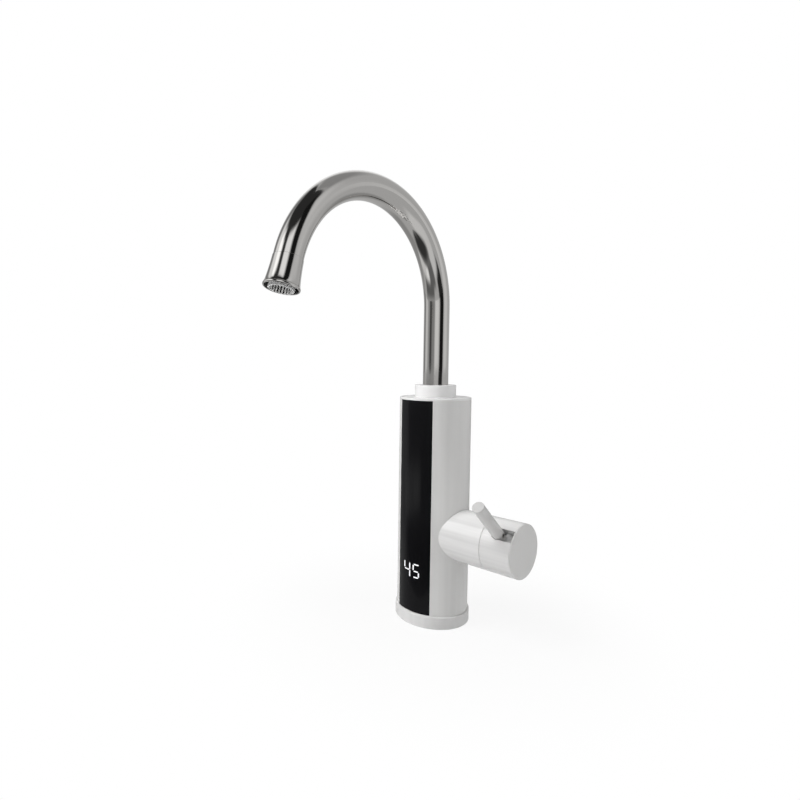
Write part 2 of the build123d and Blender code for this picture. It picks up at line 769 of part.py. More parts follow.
# Moving ceramic disc: it turns with the knob and is slid across by the lever
slide_rest = lever_pin_rise - finger_drop
slide_lift = finger_back * sin(radians(lever_travel)) + finger_drop * (1 - cos(radians(lever_travel)))
moving_start = fixed_start + ceramic_thickness + face_gap
with BuildPart() as moving_ceramic_disc:
    extrude(disc(across_knob(moving_start), moving_ceramic_radius, 0, ((0, slide_rest),)),
            amount=moving_ceramic_thickness)
    with BuildSketch(across_knob(moving_start)):
        with Locations((0, slide_rest)):
            SlotCenterToCenter(moving_ceramic_radius, 2 * port_radius)
    extrude(amount=moving_ceramic_thickness / 2, mode=Mode.SUBTRACT)
save(moving_ceramic_disc, "moving_ceramic_disc")

# Slide: carries the moving disc, and its forked bar reaches back to the lever's finger
plate_start = moving_start + moving_ceramic_thickness + face_gap
bar_start = plate_start + slide_plate_thickness
ball_place = lever_pin_place - finger_back
fork_end = ball_place + finger_radius / 3
fork_depth = finger_back * (cos(radians(lever_travel)) - 1) + finger_drop * sin(radians(lever_travel))
fork_start = ball_place - fork_depth - finger_ball_radius - free_gap
with BuildPart() as disc_slide:
    extrude(disc(across_knob(plate_start), moving_ceramic_radius, 0, ((0, slide_rest),)),
            amount=slide_plate_thickness)
    bar = block(across_knob(plate_start), slide_bar_width, slide_bar_height, (0, slide_rest))
    extrude(bar, amount=fork_end - plate_start)
    fork_opening = 2 * finger_ball_radius + free_gap
    fork = block(across_knob(fork_start), 2 * slide_bar_width, fork_opening, (0, slide_rest))
    cut(fork, fork_end)
save(disc_slide, "disc_slide")

# Spindle: turns in the cartridge with the knob and guides the slide
spindle_start = bar_start + free_gap
spindle_end = block_front + spindle_neck_length
flange_end = block_front - free_gap
guide_width = slide_bar_width + 2 * free_gap
guide_top = slide_rest + slide_lift + slide_bar_height / 2 + free_gap
guide_bottom = slide_rest - slide_bar_height / 2 - free_gap
guide_height = guide_top - guide_bottom
guide_middle = (guide_top + guide_bottom) / 2
with BuildPart() as spindle:
    extrude(disc(across_knob(spindle_start), cup_radius - running_gap), amount=flange_end - spindle_start)
    extrude(disc(across_knob(spindle_start), spindle_neck_radius), amount=spindle_end - spindle_start)
    guide = block(across_knob(spindle_start), guide_width, guide_height, (0, guide_middle))
    cut(guide, spindle_end)
save(spindle, "spindle")

# Nut that keeps the cartridge in the block
nut_start = block_front + face_gap
with BuildPart() as cartridge_nut:
    extrude(disc(across(block_front - nut_skirt), block_radius + seat_gap + nut_wall),
            amount=nut_skirt + nut_thickness)
    cut(disc(across(block_front - nut_skirt), block_radius + seat_gap), nut_skirt + face_gap)
    cut(disc(across(nut_start), spindle_neck_radius + free_gap), nut_thickness)
save(cartridge_nut, "cartridge_nut")

# Knob core: fits on the spindle and holds the lever's pin
core_start = block_front + nut_thickness + 4 * free_gap
core_end = end_disc_start - end_disc_spigot - face_gap
core_radius = knob_inner - seat_gap
slot_rise = lever_pin_rise - lever_hub_radius - free_gap
slot_start = lever_pin_place - (valve_radius - lever_pin_rise) * tan(radians(lever_lean)) \
    - lever_radius / cos(radians(lever_lean)) - free_gap
pocket_end = lever_pin_place - finger_ball_radius / 2
with BuildPart() as knob_core:
    extrude(disc(across_knob(core_start), core_radius), amount=core_end - core_start)
    spindle_seat = disc(across_knob(core_start), spindle_neck_radius + seat_gap)
    cut(spindle_seat, spindle_end + face_gap - core_start)
    pocket = block(across_knob(core_start), guide_width, guide_height, (0, guide_middle))
    cut(pocket, pocket_end - core_start)
    slot = block(across_knob(slot_start), knob_slot_width, 2 * valve_radius, (0, valve_radius + slot_rise))
    cut(slot, knob_end)
    pin_plane = Plane(origin=(lever_pin_place, 0, valve_height), x_dir=along, z_dir=tangent * -1)
    pin_hole = disc(pin_plane, lever_pin_radius + running_gap / 2, 0, ((0, lever_pin_rise),))
    extrude(pin_hole, amount=lever_pin_length / 2 + seat_gap, both=True, mode=Mode.SUBTRACT)
save(knob_core, "knob_core")

# Pivot pin of the lever
with BuildPart() as lever_pin:
    pin = disc(pin_plane, lever_pin_radius, 0, ((0, lever_pin_rise),))
    extrude(pin, amount=lever_pin_length / 2, both=True)
save(lever_pin, "lever_pin")

# Knob shell with the lever's slot, open as far as the end disc
with BuildPart() as knob_shell:
    extrude(disc(across_knob(knob_start), valve_radius), amount=end_disc_start - face_gap - knob_start)
    chamfer(knob_shell.edges().filter_by(GeomType.CIRCLE), length=knob_edge)
    cut(disc(across_knob(knob_start), knob_inner), knob_end)
    slot_end_radius = knob_slot_width / 2
    slot_plane = across_knob(slot_start + slot_end_radius)
    cut(block(slot_plane, knob_slot_width, valve_radius * 2, (0, valve_radius)), knob_end)
    slot_round = Plane(origin=slot_plane.origin, x_dir=tangent, z_dir=radial)
    cut(disc(slot_round, slot_end_radius), valve_radius * 2)
save(knob_shell, "knob_shell")

# Disc that closes the knob's end
spigot_outer = core_radius - seat_gap
with BuildPart() as knob_end_disc:
    extrude(disc(across_knob(end_disc_start), valve_radius - knob_edge / 2), amount=end_disc_thickness)
    chamfer(knob_end_disc.edges().filter_by(GeomType.CIRCLE).sort_by(Axis.X)[-1], length=end_disc_edge)
    spigot_plane = across_knob(end_disc_start - end_disc_spigot)
    extrude(disc(spigot_plane, spigot_outer, spigot_outer - end_disc_spigot_wall), amount=end_disc_spigot)
    notch = block(spigot_plane, knob_slot_width + 2 * free_gap, valve_radius * 2, (0, valve_radius))
    cut(notch, end_disc_spigot)
save(knob_end_disc, "knob_end_disc")

# Lever: the hub turns on the pin, its finger moves the slide, and the rod screws on to its stud
pin_centre = Vector(lever_pin_place, 0, valve_height) + radial * lever_pin_rise
lean = radians(lever_lean)
rod_way = radial * cos(lean) - along * sin(lean)
rod_side = along * cos(lean) + radial * sin(lean)


def across_rod(distance):  # a plane across the lever's rod, at a distance from the pin
    return Plane(origin=pin_centre + rod_way * distance, x_dir=tangent, z_dir=rod_way)


ball_centre = pin_centre - along * finger_back - radial * finger_drop
finger_way = (ball_centre - pin_centre).normalized()
finger_length = (ball_centre - pin_centre).length
finger_plane = Plane(origin=pin_centre, x_dir=tangent, z_dir=finger_way)
ball_plane = Plane(origin=ball_centre, x_dir=tangent, z_dir=finger_way)
stud_start = lever_hub_radius * 0.8
rod_start = lever_hub_radius + seat_gap
with BuildPart() as lever_hub:
    hub = disc(pin_plane, lever_hub_radius, 0, ((0, lever_pin_rise),))
    extrude(hub, amount=lever_hub_width / 2, both=True)
    extrude(disc(across_rod(stud_start), lever_stud_radius), amount=lever_stud_length - stud_start)
    extrude(disc(finger_plane, finger_radius), amount=finger_length)
    with Locations(ball_plane):
        Sphere(finger_ball_radius)
    pin_bore = disc(pin_plane, lever_pin_radius + running_gap, 0, ((0, lever_pin_rise),))
    extrude(pin_bore, amount=lever_hub_width, both=True, mode=Mode.SUBTRACT)
save(lever_hub, "lever_hub")

# Grub screw that locks the rod on the stud, in a cross hole near the rod's root
screw_plane = Plane(origin=pin_centre + rod_way * lever_screw_rise, x_dir=tangent, z_dir=rod_side)
screw_start = lever_stud_radius + face_gap
screw_end = lever_radius - lever_screw_inset
with BuildPart() as lever_rod:
    extrude(disc(across_rod(rod_start), lever_radius), amount=lever_reach - rod_start)
    tip = lever_rod.faces().sort_by(Axis(origin=pin_centre, direction=rod_way))[-1]
    fillet(tip.edges(), radius=lever_tip_edge)
    stud_hole = disc(across_rod(rod_start), lever_stud_radius + seat_gap / 4)
    cut(stud_hole, lever_stud_length + seat_gap - rod_start)
    cut(disc(screw_plane, lever_screw_radius + seat_gap), 2 * lever_radius)
save(lever_rod, "lever_rod")
with BuildPart() as lever_screw:
    extrude(disc(screw_plane.offset(screw_start), lever_screw_radius), amount=screw_end - screw_start)
    with BuildSketch(screw_plane.offset(screw_end)):
        RegularPolygon(lever_screw_socket, 6)
    extrude(amount=-(screw_end - screw_start) * 0.7, mode=Mode.SUBTRACT)
save(lever_screw, "lever_screw")

# Inlet fitting: a threaded socket that the supply shank screws into from below
screen_floor = inlet_bore_length + inlet_washer_thickness + face_gap
washer_radius = inlet_bore_radius - 6 * seat_gap
strainer_radius = washer_radius - 10 * seat_gap
with BuildPart() as inlet_fitting:
    extrude(disc(level(0), inlet_barrel_radius), amount=inlet_height)
    extrude(disc(level(shell_start), inlet_flange_radius), amount=inlet_flange_thickness)
    cut(disc(level(0), inlet_bore_radius), inlet_bore_length)
    cut(disc(level(inlet_bore_length), washer_radius + seat_gap), inlet_washer_thickness + face_gap)
    cut(disc(level(screen_floor), strainer_radius + seat_gap), inlet_screen_thickness + face_gap)
    cut(disc(level(screen_floor), pipe_radius - pipe_wall), inlet_height)
    pipe_seat = disc(level(inlet_height - pipe_socket_depth), pipe_radius + seat_gap)
    cut(pipe_seat, pipe_socket_depth)
save(inlet_fitting, "inlet_fitting")
with BuildPart() as inlet_washer:
    washer = disc(level(inlet_bore_length), washer_radius, strainer_radius - 5 * seat_gap)
    extrude(washer, amount=inlet_washer_thickness)
save(inlet_washer, "inlet_washer")
with BuildPart() as inlet_screen:
    extrude(disc(level(screen_floor), strainer_radius), amount=inlet_screen_thickness)
    with BuildSketch(level(screen_floor)):
        Circle(screen_hole_radius)
        for hole_circle, hole_count in ((1.8, 6), (3.6, 12)):
            with PolarLocations(hole_circle, hole_count):
                Circle(screen_hole_radius)
    extrude(amount=inlet_screen_thickness, mode=Mode.SUBTRACT)
save(inlet_screen, "inlet_screen")

# Pipe from the inlet up to the valve block
inlet_pipe_start = inlet_height - pipe_socket_depth + face_gap
inlet_pipe_end = block_bottom + pipe_socket_depth - face_gap
with BuildPart() as inlet_pipe:
    extrude(disc(level(inlet_pipe_start), pipe_radius, pipe_radius - pipe_wall),
            amount=inlet_pipe_end - inlet_pipe_start)
save(inlet_pipe, "inlet_pipe")

# Flow switch: the water lifts a magnet piston against a spring, and the reed beside it closes
with BuildPart() as switch_body:
    extrude(disc(level(switch_start), switch_radius, 0, (switch_place,)), amount=switch_height)
    cut(disc(level(switch_start), port_radius, 0, (switch_place,)), switch_height)
    piston_bore = disc(level(switch_start + switch_floor), piston_radius + running_gap, 0, (switch_place,))
    cut(piston_bore, switch_height)
save(switch_body, "switch_body")
with BuildPart() as switch_cap:
    extrude(disc(level(cap_start), switch_radius, 0, (switch_place,)), amount=switch_cap_thickness)
    spigot = disc(level(cap_start), feed_radius - feed_wall - seat_gap, 0, (switch_place,))
    extrude(spigot, amount=switch_cap_thickness + switch_spigot)
    bore = disc(level(cap_start), piston_port_radius, 0, (switch_place,))
    cut(bore, switch_cap_thickness + switch_spigot)
save(switch_cap, "switch_cap")
piston_start = switch_start + switch_floor + face_gap
piston_top = piston_start + piston_height
with BuildPart() as flow_piston:
    piston = disc(level(piston_start), piston_radius, piston_port_radius, (switch_place,))
    extrude(piston, amount=piston_height)
save(flow_piston, "flow_piston")
spring_start = piston_top + spring_wire / 2 + seat_gap
spring_pitch = (cap_start - seat_gap - spring_wire / 2 - spring_start) / spring_turns
spring_base = Vector(*switch_place, spring_start)
spring_first = helix_point(spring_base, spring_radius, spring_pitch, 0)
spring_last = helix_point(spring_base, spring_radius, spring_pitch, spring_turns)
spring_end = helix_way(spring_radius, spring_pitch, 0) * spring_wire
with BuildPart() as piston_spring:
    with BuildLine() as winding:
        Line(spring_first - spring_end, spring_first)
        helix(spring_base, spring_radius, spring_pitch, spring_turns)
        Line(spring_last, spring_last + spring_end)
    with BuildSketch(Plane(origin=spring_first - spring_end, z_dir=spring_end)):
        Circle(spring_wire / 2)
    sweep()
print("least gap of the spring to itself", round(least_gap(winding.wire(), spring_wire), 2))
save(piston_spring, "piston_spring")
reed_spot = (switch_place[0], switch_place[1] - switch_radius - reed_radius - face_gap)
with BuildPart() as reed_switch:
    extrude(disc(level(piston_start), reed_radius, 0, (reed_spot,)), amount=reed_length)
    fillet(reed_switch.edges().filter_by(GeomType.CIRCLE), radius=reed_radius * 0.6)
save(reed_switch, "reed_switch")

# Heater: a steel can with a sheathed element coiled inside, closed from below by a cap
cap_floor = chamber_start - chamber_cap_thickness
chamber_inner = chamber_radius - chamber_wall
leg_spot = (coil_radius, -coil_bend)
return_spot = (coil_radius - 2 * coil_return, coil_return)
with BuildPart() as heater_chamber:
    extrude(disc(level(chamber_start), chamber_radius), amount=chamber_height)
    cut(disc(level(chamber_start), chamber_inner), chamber_height - chamber_wall)
    cut(disc(level(chamber_start), chamber_port_radius), chamber_height)
save(heater_chamber, "heater_chamber")
with BuildPart() as chamber_cap:
    extrude(disc(level(cap_floor), chamber_radius + chamber_cap_lip), amount=chamber_cap_thickness - face_gap)
    cut(disc(level(cap_floor), feed_radius + seat_gap, 0, (switch_place,)), chamber_cap_thickness)
    cut(disc(level(cap_floor), coil_wire / 2 + seat_gap, 0, (leg_spot, return_spot)), chamber_cap_thickness)
save(chamber_cap, "chamber_cap")
with BuildPart() as feed_pipe:
    extrude(disc(level(feed_start + face_gap), feed_radius, feed_radius - feed_wall, (switch_place,)),
            amount=chamber_start - feed_start - 2 * face_gap)
save(feed_pipe, "feed_pipe")

# Element: up one leg, round the coil, and back down inside it
coil_start = Vector(0, 0, chamber_start + coil_bend + coil_wire / 2)
coil_foot = cap_floor - coil_tail
coil_first = helix_point(coil_start, coil_radius, coil_pitch, 0)
coil_last = helix_point(coil_start, coil_radius, coil_pitch, coil_turns)
coil_way = helix_way(coil_radius, coil_pitch, coil_turns)
leg_top = coil_first + Vector(0, -coil_bend, -coil_bend)
return_top = coil_last + Vector(-coil_return, coil_return, coil_wire / 8)
return_turn = return_top + Vector(-coil_return, 0, -coil_return)
with BuildPart() as heating_coil:
    with BuildLine() as element:
        Line(Vector(leg_top.X, leg_top.Y, coil_foot), leg_top)
        biarc(leg_top, up, coil_first, coil_way)
        helix(coil_start, coil_radius, coil_pitch, coil_turns)
        biarc(coil_last, coil_way, return_top, along * -1)
        biarc(return_top, along * -1, return_turn, up * -1)
        Line(return_turn, Vector(return_turn.X, return_turn.Y, coil_foot))
    with BuildSketch(Plane(origin=(leg_top.X, leg_top.Y, coil_foot), z_dir=up)):
        Circle(coil_wire / 2)
    sweep()
print("least gap of the element to itself", round(least_gap(element.wire(), coil_wire), 2))
save(heating_coil, "heating_coil")

# Safety cut-out clipped to the front of the can
with BuildPart() as thermal_cutout:
    cutout_plane = facing_back(-chamber_radius - cutout_depth, chamber_start + chamber_height / 2)
    extrude(disc(cutout_plane, cutout_radius), amount=chamber_radius)
    cut(disc(level(chamber_start), chamber_radius + face_gap), chamber_height)
save(thermal_cutout, "thermal_cutout")

# Control board on two posts of the shell
with BuildPart() as control_board:
    sheet = block(outward(board_back, 0, 0), board_width,
                  board_top - board_bottom, (0, (board_top + board_bottom) / 2))
    extrude(sheet, amount=board_thickness)
    for height in board_post_heights:
        screw_hole = disc(outward(board_back, 0, height),
                          board_screw_radius + running_gap)
        cut(screw_hole, board_thickness)
save(control_board, "control_board")
with BuildPart() as board_screws:
    for height in board_post_heights:
        head_plane = outward(board_face + face_gap, 0, height)
        extrude(disc(head_plane, board_screw_head_radius), amount=board_screw_head)
        extrude(disc(head_plane, board_screw_radius), amount=-board_screw_length - board_thickness)
save(board_screws, "board_screws")
with BuildPart() as board_relay:
    outline = block(outward(board_face + face_gap, 0, board_bottom + relay_rise),
                    relay_size[0], relay_size[1])
    extrude(outline, amount=relay_size[2])
    fillet(board_relay.edges().filter_by(Axis.X), radius=seat_gap * 5)
save(board_relay, "board_relay")
with BuildPart() as board_capacitor:
    capacitor_plane = outward(board_face + face_gap, capacitor_side, board_top - capacitor_drop)
    extrude(disc(capacitor_plane, capacitor_radius), amount=capacitor_length)
    fillet(board_capacitor.edges().filter_by(GeomType.CIRCLE), radius=seat_gap * 4)
save(board_capacitor, "board_capacitor")

# Power switch, cooled by the back of the valve block
with BuildPart() as triac:
    triac_plane = outward(-block_back - face_gap, triac_place, valve_height)
    extrude(block(triac_plane, triac_width, triac_height), amount=-triac_thickness)
save(triac, "triac")

# Terminal block on two posts of the base
terminal_start = base_floor + terminal_post_height + face_gap
terminal_top = terminal_start + terminal_height
terminal_spacing = terminal_width / 3
with BuildPart() as terminal_block:
    extrude(block(level(terminal_start), terminal_width, terminal_depth, gland_spot), amount=terminal_height)
    holes = disc(level(terminal_top), lead_radius + free_gap, 0,
                 [(side * terminal_spacing, gland_distance) for side in (-1, 0, 1)])
    cut(holes, -terminal_hole_depth)
save(terminal_block, "terminal_block")

# Leads from the terminal block to the element's two ends
lead_start = terminal_top - terminal_hole_depth + face_gap
lead_end = coil_foot - face_gap
lead_shelf = lead_end - lead_rise
left_lead_route = (
    (-terminal_spacing, gland_distance, lead_start),
    (-terminal_spacing, gland_distance, lead_shelf - lead_slope),
    (*return_spot, lead_shelf),
    (*return_spot, lead_end),
)
lead_x = bypass_side + bypass_boss_radius + lead_radius + lead_clear
lead_y = (block_radius + sqrt(body_inner ** 2 - lead_x ** 2)) / 2  # midway between the valve block and the shell
lead_side = (lead_x, lead_y)
right_lead_route = (
    (terminal_spacing, gland_distance, lead_start),
    (terminal_spacing, gland_distance, terminal_top + lead_jog_rise),
    (*lead_side, valve_height - block_radius - lead_jog_drop),
    (*lead_side, lead_shelf - lead_slope),
    (*leg_spot, lead_shelf),
    (*leg_spot, lead_end),
)
with BuildPart() as heater_leads:
    for route in (left_lead_route, right_lead_route):
        add(lead(route, lead_radius))
save(heater_leads, "heater_leads")

# Lead from the display board to the control board
display_lead_start = -display_board_back + face_gap
display_lead_height = display_middle + display_lead_rise
display_lead_end = (-display_lead_side_at_board, display_lead_height + display_lead_rise)
display_lead_route = (
    (-display_lead_side, display_lead_start, display_lead_height),
    (-display_lead_side, display_lead_start + display_lead_straight, display_lead_height),
    (board_face + face_gap + display_lead_straight, *display_lead_end),
    (board_face + face_gap, *display_lead_end),
)
with BuildPart() as display_lead:
    add(lead(display_lead_route, thin_lead_radius))
save(display_lead, "display_lead")
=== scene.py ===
import json
import math
import bpy
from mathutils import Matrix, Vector


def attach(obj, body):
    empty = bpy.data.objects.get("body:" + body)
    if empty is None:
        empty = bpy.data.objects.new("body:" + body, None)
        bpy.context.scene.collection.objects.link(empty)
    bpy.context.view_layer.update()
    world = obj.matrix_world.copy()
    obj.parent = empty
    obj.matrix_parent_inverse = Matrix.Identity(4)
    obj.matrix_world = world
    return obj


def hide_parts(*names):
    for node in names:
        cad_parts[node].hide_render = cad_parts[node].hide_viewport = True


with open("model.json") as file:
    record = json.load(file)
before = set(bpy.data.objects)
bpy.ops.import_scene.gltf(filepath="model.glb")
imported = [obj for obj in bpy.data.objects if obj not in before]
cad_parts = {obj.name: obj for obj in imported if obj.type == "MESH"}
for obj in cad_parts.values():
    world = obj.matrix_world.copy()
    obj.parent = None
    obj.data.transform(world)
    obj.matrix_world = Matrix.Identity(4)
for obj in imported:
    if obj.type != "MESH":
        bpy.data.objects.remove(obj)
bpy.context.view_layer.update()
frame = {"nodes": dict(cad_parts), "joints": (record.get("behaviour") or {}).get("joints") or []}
print("frame: loaded", len(frame["nodes"]), "nodes")

perMetre = 1000  # for the settings that are in millimetres

# The camera, at the photograph's place
cameraSet = {
    "place": (0.27552, -0.39361, 0.21379),
    "down": 0.062,  # radians below the horizon
    "turn": 0.884,  # radians about the vertical
    "sensor": 36,
    "lens": 25.52,
    "shift": (0.1542, -0.0088),
    "clip": (0.02, 20),
}


def addCamera(s):
    bpy.ops.object.camera_add(location=s["place"],
                              rotation=(math.pi / 2 - s["down"], 0, s["turn"]))
    camera = bpy.context.object
    camera.name = "photoCamera"
    camera.data.sensor_width = s["sensor"]
    camera.data.lens = s["lens"]
    camera.data.shift_x, camera.data.shift_y = s["shift"]
    camera.data.clip_start, camera.data.clip_end = s["clip"]
    bpy.context.scene.camera = camera


addCamera(cameraSet)
bpy.context.scene.view_settings.view_transform = "Standard"
print("camera: placed")


# Helpers for node trees
def join(tree, *pairs):
    for start, end in pairs:
        tree.links.new(start, end)


def addNode(tree, kind, values=None, **facts):
    node = tree.nodes.new(kind)
    for name, value in facts.items():
        setattr(node, name, value)
    for name, value in (values or {}).items():
        node.inputs[name].default_value = value
    return node


def feed(tree, value, socket):  # a value is another node's output or a plain number
    if isinstance(value, bpy.types.NodeSocket):
        tree.links.new(value, socket)
    else:
        socket.default_value = value


def mathNode(tree, operation, first, second=None, third=None, clamp=False):
    node = tree.nodes.new("ShaderNodeMath")
    node.operation = operation
    node.use_clamp = clamp
    for socket, value in zip(node.inputs, (first, second, third)):
        if value is not None:
            feed(tree, value, socket)
    return node.outputs[0]


def newGroup(name, takes, gives):
    tree = bpy.data.node_groups.new(name, "ShaderNodeTree")
    for label, kind, value in takes:
        socket = tree.interface.new_socket(name=label, in_out="INPUT", socket_type="NodeSocket" + kind)
        if kind != "Vector":
            socket.default_value = value
    for label, kind in gives:
        tree.interface.new_socket(name=label, in_out="OUTPUT", socket_type="NodeSocket" + kind)
    return tree, tree.nodes.new("NodeGroupInput").outputs, tree.nodes.new("NodeGroupOutput").inputs


def azimuthNode(tree, x, y, front):  # degrees to the camera's right
    azimuth = mathNode(tree, "DEGREES", mathNode(tree, "ARCTAN2", y, x))
    return mathNode(tree, "SUBTRACT", azimuth, front)


plainWhite = (1, 1, 1, 1)

# The studio: white ground, and the light and dark panels seen in the metal
studioSet = {
    "front": -39.4,  # degrees, the way from the tap to the camera
    "diffuse": 0.03,  # the room's light on surfaces that aren't shiny
    "room": 0.58,  # level of the room where no panel stands
    # azimuth to the camera's right, half width, height, half height and edge in degrees, then level
    "panels": [
        (-52, 112, 78, 26, 5, 0.035),
        (125, 60, 72, 20, 8, 0.36),
        (-92, 30, 34, 14, 6, 1.12),
        (-79, 14, 36, 12, 6, 1.72),
        (-114, 18, 5, 16, 8, 0.8),
        (-84, 14, 4, 14, 10, 0.42),
        (-44, 16, 2, 15, 8, 0.33),
        (-68, 11, 2, 15, 8, 0.07),
        (-46, 11, 32, 20, 6, 0.05),
        (-56, 17, 52, 7, 5, 0.04),
        (-12, 19, 34, 15, 5, 1.2),
        (-12, 17, 5, 15, 9, 0.93),
        (62, 14, 36, 13, 12, 0.78),
        (72, 17, 2, 16, 15, 0.84),
        (31, 17, 22, 42, 5, 0.012),
        (172, 24, 38, 13, 12, 1.05),
        (-143, 13, 22, 34, 8, 0.27),
    ],
    "ground": 0.58,
    "groundPanels": [
        (-52, 73, -68, 22, 14, 0.05),
        (-35, 28, -32, 16, 7, 0.18),
        (-70, 40, -14, 10, 8, 0.16),
        (-93, 35, -35, 9, 5, 0.85),
        (-76, 10, -35, 6, 4, 1.15),
        (27, 18, -8, 11, 5, 0.03),
        (30, 32, -34, 12, 5, 0.82),
        (52, 20, -55, 20, 8, 0.84),
        (-155, 25, -28, 26, 10, 0.38),
        (132, 16, -26, 22, 8, 0.36),
    ],
    "seenFrom": (0, -0.08, 0.3),  # the middle of the arch, from which the ground's tones are laid out
    "floorSize": 16,
    "paper": 0.86,
    "glow": (0.9, 1.0),  # share of plain white in the ground, near the tap and far from it
    "near": (0.05, 0.2),  # metres from the tap, between which the glow grows
}


panelFacts = ("At", "Half Width", "Up", "Half Height", "Edge", "Bright")


def panelGroup():  # lays one soft-edged panel over the level behind it
    labels = ("Azimuth", "Height", "Level", *panelFacts)
    tree, takes, gives = newGroup("studioPanel", [(label, "Float", 0) for label in labels],
                                  [("Level", "Float")])
    masks = []
    for way, at, half in (("Azimuth", "At", "Half Width"), ("Height", "Up", "Half Height")):
        off = mathNode(tree, "SUBTRACT", takes[way], takes[at])
        if way == "Azimuth":
            off = mathNode(tree, "WRAP", off, 180, -180)
        off = mathNode(tree, "ABSOLUTE", off)
        ramp = addNode(tree, "ShaderNodeMapRange", {"To Min": 1, "To Max": 0},
                       interpolation_type="SMOOTHSTEP")
        join(tree, (off, ramp.inputs["Value"]),
             (mathNode(tree, "SUBTRACT", takes[half], takes["Edge"]), ramp.inputs["From Min"]),
             (mathNode(tree, "ADD", takes[half], takes["Edge"]), ramp.inputs["From Max"]))
        masks.append(ramp.outputs[0])
    mask = mathNode(tree, "MULTIPLY", *masks)
    rise = mathNode(tree, "SUBTRACT", takes["Bright"], takes["Level"])
    join(tree, (mathNode(tree, "MULTIPLY_ADD", rise, mask, takes["Level"]), gives["Level"]))
    return tree


studioPanel = panelGroup()


def panelLevel(tree, azimuth, height, level, panels):
    for panel in panels:
        node = addNode(tree, "ShaderNodeGroup", node_tree=studioPanel)
        join(tree, (azimuth, node.inputs["Azimuth"]), (height, node.inputs["Height"]))
        feed(tree, level, node.inputs["Level"])
        for name, value in zip(panelFacts, panel):
            node.inputs[name].default_value = value
        level = node.outputs["Level"]
    return level


def addStudio(s):
    world = bpy.data.worlds.new("studio")
    bpy.context.scene.world = world
    world.use_nodes = True
    tree = world.node_tree
    tree.nodes.clear()
    way = addNode(tree, "ShaderNodeTexCoord").outputs["Generated"]
    split = addNode(tree, "ShaderNodeSeparateXYZ")
    join(tree, (way, split.inputs[0]))
    x, y, z = split.outputs
    azimuth = azimuthNode(tree, x, y, s["front"])
    height = mathNode(tree, "DEGREES", mathNode(tree, "ARCSINE", z))
    level = panelLevel(tree, azimuth, height, s["room"], s["panels"])
    light = addNode(tree, "ShaderNodeLightPath").outputs
    soft = addNode(tree, "ShaderNodeBackground", {"Color": plainWhite, "Strength": s["diffuse"]})
    shown = addNode(tree, "ShaderNodeBackground", {"Color": plainWhite})
    white = addNode(tree, "ShaderNodeBackground", {"Color": plainWhite, "Strength": 1})
    mixGloss = addNode(tree, "ShaderNodeMixShader")
    mixCamera = addNode(tree, "ShaderNodeMixShader")
    out = addNode(tree, "ShaderNodeOutputWorld")
    join(tree, (level, shown.inputs["Strength"]), (light["Is Glossy Ray"], mixGloss.inputs[0]),
         (soft.outputs[0], mixGloss.inputs[1]), (shown.outputs[0], mixGloss.inputs[2]),
         (light["Is Camera Ray"], mixCamera.inputs[0]), (mixGloss.outputs[0], mixCamera.inputs[1]),
         (white.outputs[0], mixCamera.inputs[2]), (mixCamera.outputs[0], out.inputs[0]))


def addFloor(s):  # white paper to the camera, with the ground panels seen only in the metal
    bpy.ops.mesh.primitive_plane_add(size=s["floorSize"], location=(0, 0, 0))
    floor = bpy.context.object
    floor.name = "studioFloor"
    material = bpy.data.materials.new("studioPaper")
    material.use_nodes = True
    tree = material.node_tree
    tree.nodes.clear()
    spot = addNode(tree, "ShaderNodeTexCoord").outputs["Object"]
    split = addNode(tree, "ShaderNodeSeparateXYZ")
    join(tree, (spot, split.inputs[0]))
    x = mathNode(tree, "SUBTRACT", split.outputs[0], s["seenFrom"][0])
    y = mathNode(tree, "SUBTRACT", split.outputs[1], s["seenFrom"][1])
    azimuth = azimuthNode(tree, x, y, s["front"])
    far = mathNode(tree, "SQRT", mathNode(tree, "ADD", mathNode(tree, "MULTIPLY", x, x),
                                          mathNode(tree, "MULTIPLY", y, y)))
    height = mathNode(tree, "DEGREES", mathNode(tree, "ARCTAN2", -s["seenFrom"][2], far))
    level = panelLevel(tree, azimuth, height, s["ground"], s["groundPanels"])
    light = addNode(tree, "ShaderNodeLightPath").outputs
    fade = addNode(tree, "ShaderNodeMapRange", interpolation_type="SMOOTHSTEP")
    for label, value in zip(("From Min", "From Max", "To Min", "To Max"), (*s["near"], *s["glow"])):
        fade.inputs[label].default_value = value
    away = addNode(tree, "ShaderNodeVectorMath", operation="LENGTH")
    join(tree, (spot, away.inputs[0]), (away.outputs["Value"], fade.inputs["Value"]))
    paper = addNode(tree, "ShaderNodeBsdfDiffuse", {"Color": (s["paper"],) * 3 + (1,)})
    glow = addNode(tree, "ShaderNodeEmission", {"Color": plainWhite, "Strength": 1})
    shown = addNode(tree, "ShaderNodeEmission", {"Color": plainWhite})
    mixCamera = addNode(tree, "ShaderNodeMixShader")
    mixGloss = addNode(tree, "ShaderNodeMixShader")
    out = addNode(tree, "ShaderNodeOutputMaterial")
    glossy = mathNode(tree, "MAXIMUM", light["Is Glossy Ray"], light["Is Transmission Ray"])
    join(tree, (level, shown.inputs["Strength"]),
         (mathNode(tree, "MULTIPLY", light["Is Camera Ray"], fade.outputs[0]), mixCamera.inputs[0]),
         (paper.outputs[0], mixCamera.inputs[1]), (glow.outputs[0], mixCamera.inputs[2]),
         (glossy, mixGloss.inputs[0]), (mixCamera.outputs[0], mixGloss.inputs[1]),
         (shown.outputs[0], mixGloss.inputs[2]), (mixGloss.outputs[0], out.inputs[0]))
    floor.data.materials.append(material)


